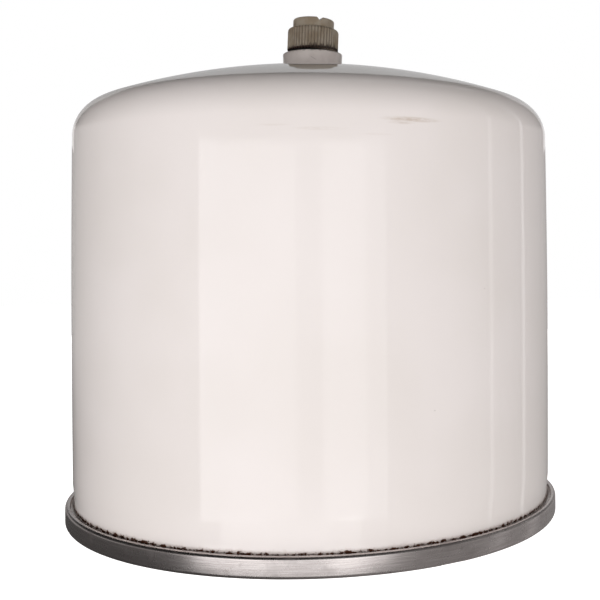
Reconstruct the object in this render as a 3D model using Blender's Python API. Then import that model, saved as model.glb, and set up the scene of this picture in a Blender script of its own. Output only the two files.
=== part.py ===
"""Expansion vessel for a heating system: a white steel drum closed by a clamp ring over a shallow water pan.

The water connection is underneath, the gas valve and its screw cap are on the crown. Metres, +Z up.
The origin is the centre of the water connection's end face, and the vessel stands up from its pipe.
"""

import math

import bmesh
import bpy

# Shells and clamp ring
BODY_RADIUS = 0.1225  # outside of the drum wall where the shoulder starts
WALL_BULGE = 0.0005  # how far the drawn wall swells at mid height
NECK_STEP = 0.0006  # how far the wall is drawn in above the flange
NECK_HEIGHT = 0.0045  # straight part of the neck above the bend
NECK_RUN = 0.0110  # above the bend, where the neck has widened to the wall
DRUM_HEIGHT = 0.1913  # underside of the ring to the start of the shoulder
SHOULDER_RADIUS = 0.0192
CROWN_RADIUS = 0.325
SHEET = 0.0015  # steel of both shells
FLANGE_BEND = 0.0013  # outside radius of the bend from wall to flange
FLANGE_REACH = 0.0027  # neck wall to flange edge
RING_SHEET = 0.0013
RING_ROUND = 0.0016  # rolled corners of the clamp ring
RING_TOP_LIP = 0.0026  # how far each lip of the ring folds inwards
RING_BOTTOM_LIP = 0.0068
PAN_FLANGE = 0.0087  # width of the pan's flat flange
PAN_DROP = 0.020  # underside of the ring to the lowest point of the pan
BEAD_THICKNESS = 0.0026
BEAD_TAPER = 0.0015  # run from the diaphragm's bead down to its sheet, on each side
DIAPHRAGM_SHEET = 0.0020
DIAPHRAGM_REST = 0.0012  # empty diaphragm above the nipple's inner end
GAP = 0.0003  # clearance between pieces that touch
FINE_GAP = 0.00015  # clearance inside the valve core

# Water connection
NIPPLE_REACH = 0.015  # end face to the pan
NIPPLE_INSIDE = 0.0015  # how far the nipple stands inside the pan
NIPPLE_RADIUS = 0.0132
NIPPLE_BORE = 0.0095
NIPPLE_PITCH = 0.001814
NIPPLE_THREAD_DEPTH = 0.0011
NIPPLE_LEAD = 0.0006  # plain end below the thread
WELD_LEG = 0.0030
WELD_FILL = 0.62  # how far the bead bulges, as a share of its leg
GUARD_SEAT = 0.0015  # ledge in the nipple that the guard rests on
GUARD_THICKNESS = 0.0015
GUARD_HOLE_RADIUS = 0.0022
GUARD_HOLE_CIRCLE = 0.0068
GUARD_HOLES = 6

# Valve boss, cap and O-ring
BOSS_RADIUS = 0.0158
BOSS_RISE = 0.0101  # crown to the top of the boss
BOSS_EDGE = 0.0012
BOSS_MOUTH = 0.0005  # chamfer at the mouth of the threaded recess
BOSS_SPIGOT = 0.0117
BOSS_INSIDE = 0.0030  # how far the boss stands inside the crown
BOSS_FLOOR = 0.0010  # floor of the threaded recess above the crown
CAP_RADIUS = 0.0135
CAP_LIFT_OFF_BOSS = 0.0016  # rim of the skirt above the boss
SKIRT_HEIGHT = 0.0109
SKIRT_ROUND = 0.0018
RIB_COUNT = 48
RIB_DEPTH = 0.0005
PLUG_RADIUS = 0.0109
PLUG_HEIGHT = 0.0065
PLUG_EDGE = 0.0012
CAP_WALL = 0.0027
SLOT_WIDTH = 0.0040
SLOT_DEPTH = 0.0016
SLOT_ANGLE = math.radians(-12)
CAP_PITCH = 0.002
CAP_THREAD_DEPTH = 0.0010
CAP_THREAD_RADIUS = 0.0106  # crests of the spigot thread
SPIGOT_LENGTH = 0.0068
SPIGOT_LEAD = 0.0005  # plain end below the spigot's thread
SPIGOT_WALL = 0.0018  # root of the spigot's thread to its bore
O_RING_CORD = 0.00065  # radius of the cord
O_RING_RADIUS = 0.0120

# Valve stem and core, heights counted from the crown or from the core's seat
STEM_RADIUS = 0.00385
STEM_TOP = 0.0150
STEM_CHAMFER = 0.0004
STEM_LEDGE = 0.0019  # how far the flange stands out from the shank
STEM_END = 0.0070
STEM_FLANGE_ROOM = 0.0012  # flange to the cap's bore
STEM_FLANGE_THICKNESS = 0.0018
WASHER_THICKNESS = 0.0010
CORE_BORE = 0.0027
CORE_SEAT_BORE = 0.0021
CORE_SEAT_DEPTH = 0.0062  # stem's mouth to the seat
CORE_SEAT_CONE = 0.0010
CORE_PLUG_SUNK = 0.0012
BARREL_RADIUS = 0.00135
BARREL_BORE = 0.00105
BARREL_ABOVE_SEAT = 0.0013
BARREL_HEAD = 0.0006
BARREL_SHELF = 0.0064  # seat to the shelf that the spring stands on
BARREL_FLOOR = 0.0014
GASKET_DEPTH = 0.0012
PIN_RADIUS = 0.00045
PIN_SUNK = 0.0004
PIN_HEAD_RADIUS = 0.00075
PIN_HEAD_HEIGHT = 0.0008
PIN_COLLAR_DEPTH = 0.0014  # top of the barrel to the top of the collar
PIN_COLLAR_HEIGHT = 0.0006
PIN_TAIL = 0.0026
CUP_WALL = 0.0002
CUP_BASE = 0.0003
CUP_HEIGHT = 0.0010
CUP_OVERHANG = 0.0003  # cup's rim outside the barrel
CORE_WASHER = 0.00085
SPRING_WIRE = 0.00015
SPRING_RADIUS = 0.00072
SPRING_TURNS = 6

BIG_SEGMENTS = 56
THREAD_SEGMENTS = 32
SMALL_SEGMENTS = 24
CORE_SEGMENTS = 16

# Heights and radii that follow from the sizes above
RING_Z = NIPPLE_REACH + PAN_DROP
NIPPLE_TOP_Z = NIPPLE_REACH + SHEET + NIPPLE_INSIDE
PAN_FLANGE_Z = RING_Z + RING_SHEET + GAP
BEAD_Z = PAN_FLANGE_Z + SHEET + GAP
SHELL_FLANGE_Z = BEAD_Z + BEAD_THICKNESS + GAP
RING_TOP_Z = SHELL_FLANGE_Z + SHEET + GAP + RING_SHEET
NECK_RADIUS = BODY_RADIUS - NECK_STEP
FLANGE_RADIUS = NECK_RADIUS + FLANGE_REACH
RING_RADIUS = FLANGE_RADIUS + GAP + RING_SHEET
SHOULDER_Z = RING_Z + DRUM_HEIGHT
SHOULDER_CENTRE = BODY_RADIUS - SHOULDER_RADIUS
CROWN_CENTRE_Z = SHOULDER_Z - math.sqrt((CROWN_RADIUS - SHOULDER_RADIUS) ** 2 - SHOULDER_CENTRE**2)
CROWN_Z = CROWN_CENTRE_Z + CROWN_RADIUS
CROWN_ANGLE = math.atan2(SHOULDER_Z - CROWN_CENTRE_Z, SHOULDER_CENTRE)
BOSS_TOP_Z = CROWN_Z + BOSS_RISE
CAP_RIM_Z = BOSS_TOP_Z + CAP_LIFT_OFF_BOSS
CAP_TOP_Z = CAP_RIM_Z + SKIRT_HEIGHT + PLUG_HEIGHT
O_RING_Z = BOSS_TOP_Z + GAP + O_RING_CORD
SPIGOT_BORE = CAP_THREAD_RADIUS - CAP_THREAD_DEPTH - SPIGOT_WALL
STEM_FLANGE = SPIGOT_BORE - STEM_FLANGE_ROOM
STEM_SHANK = STEM_FLANGE - STEM_LEDGE
STEM_FLANGE_Z = CROWN_Z + BOSS_FLOOR + GAP + WASHER_THICKNESS + GAP
STEM_TOP_Z = CROWN_Z + STEM_TOP
SEAT_Z = STEM_TOP_Z - CORE_SEAT_DEPTH
BARREL_TOP_Z = SEAT_Z + BARREL_ABOVE_SEAT - FINE_GAP
SHELF_Z = SEAT_Z - BARREL_SHELF
BARREL_END_Z = SHELF_Z - BARREL_FLOOR


def clear_scene():
    for obj in list(bpy.data.objects):
        bpy.data.objects.remove(obj, do_unlink=True)


def material(name, colour, roughness, metallic=0.0):
    made = bpy.data.materials.new(name)
    made.use_nodes = True
    shader = made.node_tree.nodes["Principled BSDF"]
    shader.inputs["Base Color"].default_value = (*colour, 1.0)
    shader.inputs["Roughness"].default_value = roughness
    shader.inputs["Metallic"].default_value = metallic
    made.diffuse_color = (*colour, 1.0)
    return made


def arc(centre_r, centre_z, radius, start, end, steps):
    """Points (r, z) along an arc, angles in radians from +r towards +z, both ends included."""
    points = []
    for i in range(steps + 1):
        angle = start + (end - start) * i / steps
        points.append((centre_r + radius * math.cos(angle), centre_z + radius * math.sin(angle)))
    return points


def lathe_mesh(profile, segments, on_axis=False):
    """A bmesh spun about Z from a section: a closed loop of (r, z), or an open one that ends on the axis."""
    bm = bmesh.new()
    verts = [bm.verts.new((r, 0.0, z)) for r, z in profile]
    edges = [bm.edges.new(pair) for pair in zip(verts, verts[1:])]
    if not on_axis:
        edges.append(bm.edges.new((verts[-1], verts[0])))
    bmesh.ops.spin(
        bm,
        geom=verts + edges,
        cent=(0, 0, 0),
        axis=(0, 0, 1),
        angle=math.tau,
        steps=segments,
        use_merge=True,
    )
    bmesh.ops.remove_doubles(bm, verts=bm.verts, dist=1e-7)
    return bm


def finish(bm, name, surface, smooth=True):
    bmesh.ops.recalc_face_normals(bm, faces=bm.faces)
    mesh = bpy.data.meshes.new(name)
    bm.to_mesh(mesh)
    bm.free()
    obj = bpy.data.objects.new(name, mesh)
    bpy.context.scene.collection.objects.link(obj)
    mesh.materials.append(surface)
    if smooth:
        mesh.shade_smooth()
        mesh.set_sharp_from_angle(angle=math.radians(35))
    return obj


def set_down(bm, height):
    bmesh.ops.translate(bm, vec=(0, 0, -height), verts=bm.verts)


def thread_levels(low, high, pitch, per_pitch):
    steps = max(2, round((high - low) / pitch * per_pitch))
    return [low + (high - low) * i / steps for i in range(steps + 1)]


def cut_thread(bm, crest, depth, pitch, low, high, runout):
    """Cut a right-hand helix into the wall at radius crest between two heights.

    It runs out over half a pitch at each end: to the full depth at runout 1, to the uncut wall at 0.
    """
    for vert in bm.verts:
        radius = math.hypot(vert.co.x, vert.co.y)
        if abs(radius - crest) > 1e-6 or not low - 1e-6 <= vert.co.z <= high + 1e-6:
            continue
        turn = vert.co.z / pitch - math.atan2(vert.co.y, vert.co.x) / math.tau
        wave = abs(2 * (turn % 1.0) - 1)
        ease = max(0.0, min(1.0, (vert.co.z - low) * 2 / pitch, (high - vert.co.z) * 2 / pitch))
        scale = 1 - depth * (wave * ease + runout * (1 - ease)) / radius
        vert.co.x *= scale
        vert.co.y *= scale


def boolean(obj, other, operation):
    """Join or cut with another object now, so the node holds one plain closed mesh."""
    modifier = obj.modifiers.new(operation.title(), "BOOLEAN")
    modifier.solver = "EXACT"
    modifier.operation = operation
    modifier.object = other
    other.display_type = "WIRE"
    other.hide_render = True


def crown_arc(offset, outer_r, inner_r, steps):
    """The crown from outer_r in to inner_r, offset inwards from the outside surface."""
    radius = CROWN_RADIUS - offset
    start = math.acos(outer_r / radius)
    return arc(0, CROWN_CENTRE_Z, radius, start, math.acos(inner_r / radius), steps)


def build_gas_shell():
    """Deep drawn drum: flange, drawn-in neck, slightly swelled wall, shoulder, crown with the boss hole."""
    white = material("white_stoved_enamel", (0.84, 0.81, 0.79), 0.22)
    hole = BOSS_SPIGOT + GAP
    bend_z = SHELL_FLANGE_Z + SHEET + FLANGE_BEND
    bend_r = NECK_RADIUS + FLANGE_BEND
    wall = [(NECK_RADIUS, bend_z + NECK_HEIGHT)]
    for i in range(5):
        height = bend_z + NECK_RUN + (SHOULDER_Z - bend_z - NECK_RUN) * i / 5
        wall.append((BODY_RADIUS + WALL_BULGE * math.sin(math.pi * i / 5), height))
    outside = [(FLANGE_RADIUS, SHELL_FLANGE_Z + SHEET)]
    outside += arc(bend_r, bend_z, FLANGE_BEND, math.pi * 1.5, math.pi, 3)
    outside += wall
    outside += arc(SHOULDER_CENTRE, SHOULDER_Z, SHOULDER_RADIUS, 0, CROWN_ANGLE, 6)
    outside += crown_arc(0, CROWN_RADIUS * math.cos(CROWN_ANGLE), hole, 6)[1:]
    inner_edge = (CROWN_RADIUS - SHEET) * math.cos(CROWN_ANGLE)
    inside = [(FLANGE_RADIUS, SHELL_FLANGE_Z)]
    inside += arc(bend_r, bend_z, FLANGE_BEND + SHEET, math.pi * 1.5, math.pi, 3)
    inside += [(r - SHEET, z) for r, z in wall]
    inside += arc(SHOULDER_CENTRE, SHOULDER_Z, SHOULDER_RADIUS - SHEET, 0, CROWN_ANGLE, 5)
    inside += crown_arc(SHEET, inner_edge, hole, 5)[1:]
    finish(lathe_mesh(outside + inside[::-1], BIG_SEGMENTS), "gas_shell", white)


def dish(edge_r, edge_z, centre_z, inner_r, steps):
    """Points of a shallow bowl from its edge in to inner_r, lowest on the axis."""
    drop = edge_z - centre_z
    radius = (edge_r**2 + drop**2) / (2 * drop)
    points = []
    for i in range(steps + 1):
        r = edge_r + (inner_r - edge_r) * i / steps
        points.append((r, centre_z + radius - math.sqrt(radius**2 - r**2)))
    return points


def build_water_shell():
    """Shallow dished pan with a flat flange and a hole for the nipple."""
    white = material("white_stoved_enamel_pan", (0.82, 0.79, 0.77), 0.25)
    hole = NIPPLE_RADIUS + GAP
    edge = FLANGE_RADIUS - PAN_FLANGE
    under = [(FLANGE_RADIUS, PAN_FLANGE_Z)]
    under += dish(edge, PAN_FLANGE_Z, NIPPLE_REACH, hole, 7)
    over = [(FLANGE_RADIUS, PAN_FLANGE_Z + SHEET)]
    over += dish(edge - GAP, PAN_FLANGE_Z + SHEET, NIPPLE_REACH + SHEET, hole, 7)
    finish(lathe_mesh(under + over[::-1], BIG_SEGMENTS), "water_shell", white)


def build_clamp_ring():
    """Rolled C-section ring that grips both flanges and the diaphragm's bead."""
    steel = material("rolled_steel_ring", (0.56, 0.54, 0.52), 0.34, 1.0)
    top_lip = RING_RADIUS - RING_TOP_LIP
    bottom_lip = RING_RADIUS - RING_BOTTOM_LIP
    inside_r = RING_RADIUS - RING_SHEET
    corner = RING_RADIUS - RING_ROUND
    profile = [(bottom_lip, RING_Z)]
    profile += arc(corner, RING_Z + RING_ROUND, RING_ROUND, -math.pi / 2, 0, 3)
    profile += arc(corner, RING_TOP_Z - RING_ROUND, RING_ROUND, 0, math.pi / 2, 3)
    profile += [
        (top_lip, RING_TOP_Z),
        (top_lip, RING_TOP_Z - RING_SHEET),
        (inside_r, RING_TOP_Z - RING_SHEET),
        (inside_r, RING_Z + RING_SHEET),
        (bottom_lip, RING_Z + RING_SHEET),
    ]
    finish(lathe_mesh(profile, BIG_SEGMENTS), "clamp_ring", steel)


def build_diaphragm():
    """Moulded rubber sheet with a flat bead held in the ring. Empty, it lies down along the pan."""
    rubber = material("butyl_rubber", (0.025, 0.025, 0.027), 0.7)
    edge = FLANGE_RADIUS - PAN_FLANGE
    low = NIPPLE_TOP_Z + DIAPHRAGM_REST
    top = BEAD_Z + BEAD_THICKNESS
    under = [(FLANGE_RADIUS, BEAD_Z)]
    under += dish(edge, BEAD_Z, low, 0.0, 7)
    over = [(FLANGE_RADIUS, top), (edge + BEAD_TAPER, top)]
    over += dish(edge - BEAD_TAPER, BEAD_Z + DIAPHRAGM_SHEET, low + DIAPHRAGM_SHEET, 0.0, 7)
    bm = lathe_mesh(over[::-1] + under, BIG_SEGMENTS, on_axis=True)
    set_down(bm, BEAD_Z)
    diaphragm = finish(bm, "diaphragm", rubber)
    diaphragm.location.z = BEAD_Z


def build_water_nipple():
    """Threaded steel nipple that passes through the pan, with a seat for the guard at its inner end."""
    steel = material("zinc_plated_steel", (0.62, 0.61, 0.58), 0.35, 1.0)
    seat = NIPPLE_BORE + GUARD_SEAT
    seat_z = NIPPLE_TOP_Z - GUARD_THICKNESS - 2 * GAP
    low = NIPPLE_LEAD
    high = NIPPLE_REACH - WELD_LEG - GAP
    profile = [(NIPPLE_BORE, 0.0), (NIPPLE_RADIUS - NIPPLE_THREAD_DEPTH, 0.0)]
    profile += [(NIPPLE_RADIUS, z) for z in thread_levels(low, high, NIPPLE_PITCH, 4)]
    profile += [(NIPPLE_RADIUS, NIPPLE_TOP_Z), (seat, NIPPLE_TOP_Z), (seat, seat_z), (NIPPLE_BORE, seat_z)]
    bm = lathe_mesh(profile, SMALL_SEGMENTS)
    cut_thread(bm, NIPPLE_RADIUS, NIPPLE_THREAD_DEPTH, NIPPLE_PITCH, low, high, 1)
    finish(bm, "water_nipple", steel)


def build_nipple_weld():
    """Fillet weld that runs round the nipple where it meets the pan."""
    bead = material("painted_weld", (0.80, 0.77, 0.75), 0.4)
    inner = NIPPLE_RADIUS + GAP
    top = NIPPLE_REACH - GAP / 2
    bulge = (inner + WELD_LEG * WELD_FILL, top - WELD_LEG * WELD_FILL)
    profile = [(inner, top), (inner, top - WELD_LEG), bulge, (inner + WELD_LEG, top)]
    finish(lathe_mesh(profile, THREAD_SEGMENTS), "nipple_weld", bead)


def build_inlet_guard():
    """Perforated disc in the nipple's inner end that stops the diaphragm from sealing the port."""
    steel = material("pressed_steel_guard", (0.58, 0.57, 0.56), 0.4, 1.0)
    bottom = NIPPLE_TOP_Z - GUARD_THICKNESS - GAP
    radius = NIPPLE_BORE + GUARD_SEAT - GAP
    top = bottom + GUARD_THICKNESS
    profile = [(0, bottom), (radius, bottom), (radius, top), (0, top)]
    guard = finish(lathe_mesh(profile, SMALL_SEGMENTS, on_axis=True), "inlet_guard", steel, smooth=False)
    bm = bmesh.new()
    places = [(0.0, 0.0)]
    for i in range(GUARD_HOLES):
        angle = math.tau * i / GUARD_HOLES
        places.append((GUARD_HOLE_CIRCLE * math.cos(angle), GUARD_HOLE_CIRCLE * math.sin(angle)))
    for x, y in places:
        made = bmesh.ops.create_cone(
            bm,
            cap_ends=True,
            segments=12,
            radius1=GUARD_HOLE_RADIUS,
            radius2=GUARD_HOLE_RADIUS,
            depth=GUARD_THICKNESS * 3,
        )
        bmesh.ops.translate(bm, vec=(x, y, bottom + GUARD_THICKNESS / 2), verts=made["verts"])
    boolean(guard, finish(bm, "guard_hole_cutter", steel, smooth=False), "DIFFERENCE")


def build_valve_boss():
    """Turned boss welded into the crown: a threaded recess over a floor with the stem's hole."""
    white = material("white_stoved_enamel_boss", (0.70, 0.66, 0.64), 0.3)
    top = BOSS_TOP_Z
    floor = CROWN_Z + BOSS_FLOOR
    bottom = CROWN_Z - SHEET - BOSS_INSIDE
    seat = math.sqrt((CROWN_RADIUS + GAP) ** 2 - BOSS_SPIGOT**2) + CROWN_CENTRE_Z
    root = CAP_THREAD_RADIUS + GAP
    hole = STEM_SHANK + GAP
    low = floor + BOSS_MOUTH
    high = top - BOSS_MOUTH
    profile = [(hole, bottom), (BOSS_SPIGOT, bottom), (BOSS_SPIGOT, seat), (BOSS_RADIUS, seat)]
    profile += arc(BOSS_RADIUS - BOSS_EDGE, top - BOSS_EDGE, BOSS_EDGE, 0, math.pi / 2, 3)
    profile += [(root + BOSS_MOUTH, top)]
    profile += [(root, z) for z in thread_levels(low, high, CAP_PITCH, 5)[::-1]]
    profile += [(root, floor), (hole, floor)]
    bm = lathe_mesh(profile, THREAD_SEGMENTS)
    cut_thread(bm, root, CAP_THREAD_DEPTH, CAP_PITCH, low, high, 0)
    finish(bm, "valve_boss", white)


def build_valve_cap():
    """Moulded screw cap: ribbed skirt, plug-shaped top with a driver slot, hollow threaded spigot."""
    plastic = material("grey_moulded_plastic", (0.24, 0.20, 0.16), 0.5)
    rim = CAP_RIM_Z
    shoulder = rim + SKIRT_HEIGHT
    top = CAP_TOP_Z
    profile = [(0.0, rim), (CAP_RADIUS - RIB_DEPTH, rim), (CAP_RADIUS, rim + RIB_DEPTH)]
    profile += arc(CAP_RADIUS - SKIRT_ROUND, shoulder - SKIRT_ROUND, SKIRT_ROUND, 0, math.pi / 2, 3)
    profile += [(PLUG_RADIUS + PLUG_EDGE / 4, shoulder), (PLUG_RADIUS, shoulder + PLUG_EDGE / 4)]
    profile += arc(PLUG_RADIUS - PLUG_EDGE, top - PLUG_EDGE, PLUG_EDGE, 0, math.pi / 2, 2)
    profile += [(0.0, top)]
    bm = lathe_mesh(profile, RIB_COUNT * 2, on_axis=True)
    for vert in bm.verts:
        radius = math.hypot(vert.co.x, vert.co.y)
        tooth = round(math.atan2(vert.co.y, vert.co.x) / math.tau * RIB_COUNT * 2)
        if radius > CAP_RADIUS - 1e-6 and tooth % 2:
            vert.co.x *= 1 - RIB_DEPTH / radius
            vert.co.y *= 1 - RIB_DEPTH / radius
    set_down(bm, rim)
    cap = finish(bm, "valve_cap", plastic)
    cap.location.z = rim
    boolean(cap, o_ring_groove_cutter(plastic), "DIFFERENCE")
    boolean(cap, cap_spigot(plastic), "UNION")
    boolean(cap, cap_hollow_cutter(plastic), "DIFFERENCE")
    boolean(cap, cap_slot_cutter(plastic), "DIFFERENCE")


def cap_spigot(plastic):
    """The cap's solid threaded spigot, before it is hollowed."""
    rim = CAP_RIM_Z
    high = BOSS_TOP_Z + GAP
    low = high - SPIGOT_LENGTH
    end = low - SPIGOT_LEAD
    profile = [(0.0, end), (CAP_THREAD_RADIUS - CAP_THREAD_DEPTH, end)]
    profile += [(CAP_THREAD_RADIUS, z) for z in thread_levels(low, high, CAP_PITCH, 5)]
    profile += [(CAP_THREAD_RADIUS, rim + SKIRT_HEIGHT / 2), (0.0, rim + SKIRT_HEIGHT / 2)]
    bm = lathe_mesh(profile, THREAD_SEGMENTS, on_axis=True)
    cut_thread(bm, CAP_THREAD_RADIUS, CAP_THREAD_DEPTH, CAP_PITCH, low, high, 1)
    set_down(bm, rim)
    spigot = finish(bm, "cap_spigot_tool", plastic)
    spigot.location.z = rim
    return spigot


def o_ring_groove_cutter(plastic):
    """The recess under the skirt that holds the O-ring."""
    outer = O_RING_RADIUS + O_RING_CORD + FINE_GAP
    depth = O_RING_Z + O_RING_CORD + GAP - CAP_RIM_Z
    profile = [(0.0, -depth), (outer, -depth), (outer, depth), (0.0, depth)]
    bm = lathe_mesh(profile, THREAD_SEGMENTS, on_axis=True)
    groove = finish(bm, "cap_groove_cutter", plastic, smooth=False)
    groove.location.z = CAP_RIM_Z
    return groove


def cap_hollow_cutter(plastic):
    """The hollow up the middle of the cap, which clears the valve stem."""
    crown = CAP_TOP_Z - CAP_RIM_Z - CAP_WALL
    profile = [(0.0, -SKIRT_HEIGHT), (SPIGOT_BORE, -SKIRT_HEIGHT), (SPIGOT_BORE, crown - PLUG_EDGE)]
    profile += [(SPIGOT_BORE - PLUG_EDGE, crown), (0.0, crown)]
    bm = lathe_mesh(profile, SMALL_SEGMENTS, on_axis=True)
    hollow = finish(bm, "cap_hollow_cutter", plastic, smooth=False)
    hollow.location.z = CAP_RIM_Z
    return hollow


def cap_slot_cutter(plastic):
    """V-shaped driver slot across the top."""
    bm = bmesh.new()
    half = SLOT_WIDTH / 2
    over = SLOT_DEPTH
    section = [(-half, over), (-half, 0.0), (0.0, -SLOT_DEPTH), (half, 0.0), (half, over)]
    front = bm.faces.new([bm.verts.new((x, -CAP_RADIUS, z)) for x, z in section])
    swept = bmesh.ops.extrude_face_region(bm, geom=[front])
    back = [item for item in swept["geom"] if isinstance(item, bmesh.types.BMVert)]
    bmesh.ops.translate(bm, vec=(0, 2 * CAP_RADIUS, 0), verts=back)
    slot = finish(bm, "cap_slot_cutter", plastic, smooth=False)
    slot.location.z = CAP_TOP_Z
    slot.rotation_euler.z = SLOT_ANGLE
    return slot


def build_cap_o_ring():
    """Black O-ring held under the cap's skirt, against the boss."""
    rubber = material("black_nitrile", (0.012, 0.012, 0.013), 0.5)
    bm = lathe_mesh(arc(O_RING_RADIUS, 0.0, O_RING_CORD, 0, math.tau * 7 / 8, 7), THREAD_SEGMENTS)
    ring = finish(bm, "cap_o_ring", rubber)
    ring.location.z = O_RING_Z


def build_valve_stem():
    """Brass valve stem: flange on a washer, shank through the boss floor, bore with the core's seat."""
    brass = material("turned_brass", (0.72, 0.55, 0.26), 0.28, 1.0)
    flange_top = STEM_FLANGE_Z + STEM_FLANGE_THICKNESS
    profile = [
        (CORE_SEAT_BORE, CROWN_Z - STEM_END),
        (STEM_SHANK, CROWN_Z - STEM_END),
        (STEM_SHANK, STEM_FLANGE_Z),
        (STEM_FLANGE, STEM_FLANGE_Z),
        (STEM_FLANGE, flange_top),
        (STEM_RADIUS, flange_top),
        (STEM_RADIUS, STEM_TOP_Z - STEM_CHAMFER),
        (STEM_RADIUS - STEM_CHAMFER, STEM_TOP_Z),
        (CORE_BORE, STEM_TOP_Z),
        (CORE_BORE, SEAT_Z),
        (CORE_SEAT_BORE, SEAT_Z - CORE_SEAT_CONE),
    ]
    finish(lathe_mesh(profile, SMALL_SEGMENTS), "valve_stem", brass)


def build_stem_seal():
    """Rubber washer between the stem's flange and the floor of the boss."""
    rubber = material("black_washer_rubber", (0.014, 0.014, 0.015), 0.6)
    bottom = CROWN_Z + BOSS_FLOOR + GAP
    top = bottom + WASHER_THICKNESS
    inner = STEM_SHANK + GAP
    profile = [(inner, bottom), (STEM_FLANGE, bottom), (STEM_FLANGE, top), (inner, top)]
    finish(lathe_mesh(profile, SMALL_SEGMENTS), "stem_seal", rubber, smooth=False)


def core_piece(profile, name, surface, on_axis=False):
    """A turned piece of the valve core, with its origin on the core's axis at the seat."""
    bm = lathe_mesh(profile, CORE_SEGMENTS, on_axis)
    set_down(bm, SEAT_Z)
    piece = finish(bm, name, surface)
    piece.location.z = SEAT_Z


def build_core_plug():
    """Threaded plug that holds the core down in the stem."""
    brass = material("core_brass", (0.70, 0.52, 0.24), 0.3, 1.0)
    bottom = SEAT_Z + BARREL_ABOVE_SEAT
    top = STEM_TOP_Z - CORE_PLUG_SUNK
    bore = PIN_HEAD_RADIUS + FINE_GAP
    outer = CORE_BORE - GAP
    core_piece([(bore, bottom), (outer, bottom), (outer, top), (bore, top)], "core_plug", brass)


def build_core_barrel():
    """Barrel that hangs from the gasket and guides the pin, with a shelf for the spring."""
    brass = material("core_barrel_brass", (0.68, 0.50, 0.23), 0.32, 1.0)
    head = CORE_BORE - GAP
    neck = PIN_RADIUS + FINE_GAP
    profile = [
        (neck, BARREL_END_Z),
        (BARREL_RADIUS, BARREL_END_Z),
        (BARREL_RADIUS, BARREL_TOP_Z - BARREL_HEAD),
        (head, BARREL_TOP_Z - BARREL_HEAD),
        (head, BARREL_TOP_Z),
        (BARREL_BORE, BARREL_TOP_Z),
        (BARREL_BORE, SHELF_Z),
        (neck, SHELF_Z),
    ]
    core_piece(profile, "core_barrel", brass)


def build_core_gasket():
    """Tapered gasket round the barrel, pressed into the stem's cone."""
    plastic = material("red_gasket", (0.45, 0.06, 0.04), 0.5)
    inner = BARREL_RADIUS + FINE_GAP
    high = BARREL_TOP_Z - BARREL_HEAD - FINE_GAP
    low = SEAT_Z - GASKET_DEPTH
    profile = [
        (inner, low),
        (CORE_SEAT_BORE - FINE_GAP, low),
        (CORE_BORE - GAP, SEAT_Z),
        (CORE_BORE - GAP, high),
        (inner, high),
    ]
    core_piece(profile, "core_gasket", plastic)


def build_core_pin():
    """Valve pin: head inside the stem's mouth, collar over the spring, tail that carries the cup."""
    steel = material("pin_steel", (0.60, 0.60, 0.58), 0.3, 1.0)
    top = STEM_TOP_Z - PIN_SUNK
    collar_radius = BARREL_BORE - FINE_GAP
    collar = BARREL_TOP_Z - PIN_COLLAR_DEPTH
    profile = [
        (0.0, BARREL_END_Z - PIN_TAIL),
        (PIN_RADIUS, BARREL_END_Z - PIN_TAIL),
        (PIN_RADIUS, collar - PIN_COLLAR_HEIGHT),
        (collar_radius, collar - PIN_COLLAR_HEIGHT),
        (collar_radius, collar),
        (PIN_RADIUS, collar),
        (PIN_RADIUS, top - PIN_HEAD_HEIGHT),
        (PIN_HEAD_RADIUS, top - PIN_HEAD_HEIGHT),
        (PIN_HEAD_RADIUS, top),
        (0.0, top),
    ]
    core_piece(profile, "core_pin", steel, on_axis=True)


def build_core_spring():
    """Compression spring between the barrel's shelf and the pin's collar."""
    steel = material("spring_steel", (0.52, 0.52, 0.54), 0.3, 1.0)
    low = SHELF_Z + SPRING_WIRE + FINE_GAP - SEAT_Z
    collar = BARREL_TOP_Z - PIN_COLLAR_DEPTH - PIN_COLLAR_HEIGHT
    high = collar - SPRING_WIRE - FINE_GAP - SEAT_Z
    curve = bpy.data.curves.new("core_spring", "CURVE")
    curve.dimensions = "3D"
    curve.bevel_depth = SPRING_WIRE
    curve.bevel_resolution = 1
    curve.use_fill_caps = True
    curve.materials.append(steel)
    steps = SPRING_TURNS * 10
    line = curve.splines.new("POLY")
    line.points.add(steps)
    for i in range(steps + 1):
        turn = math.tau * SPRING_TURNS * i / steps
        height = low + (high - low) * i / steps
        x = SPRING_RADIUS * math.cos(turn)
        y = SPRING_RADIUS * math.sin(turn)
        line.points[i].co = (x, y, height, 1.0)
    spring = bpy.data.objects.new("core_spring", curve)
    bpy.context.scene.collection.objects.link(spring)
    spring.location.z = SEAT_Z


def build_core_cup():
    """Cup fixed on the pin's tail, which carries the sealing washer."""
    brass = material("cup_brass", (0.66, 0.48, 0.22), 0.35, 1.0)
    inner = PIN_RADIUS + FINE_GAP
    rim = BARREL_RADIUS + CUP_OVERHANG
    top = BARREL_END_Z - CUP_OVERHANG
    base = top - CUP_HEIGHT
    profile = [
        (inner, base),
        (rim, base),
        (rim, top),
        (rim - CUP_WALL, top),
        (rim - CUP_WALL, base + CUP_BASE),
        (inner, base + CUP_BASE),
    ]
    core_piece(profile, "core_cup", brass)


def build_core_washer():
    """Rubber washer in the cup, which closes on the barrel's end."""
    rubber = material("core_washer_rubber", (0.02, 0.02, 0.02), 0.7)
    inner = PIN_RADIUS + FINE_GAP
    outer = BARREL_RADIUS + CUP_OVERHANG - CUP_WALL - FINE_GAP
    base = BARREL_END_Z - CUP_OVERHANG - CUP_HEIGHT + CUP_BASE + FINE_GAP
    top = base + CORE_WASHER - FINE_GAP
    core_piece([(inner, base), (outer, base), (outer, top), (inner, top)], "core_washer", rubber)


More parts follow.
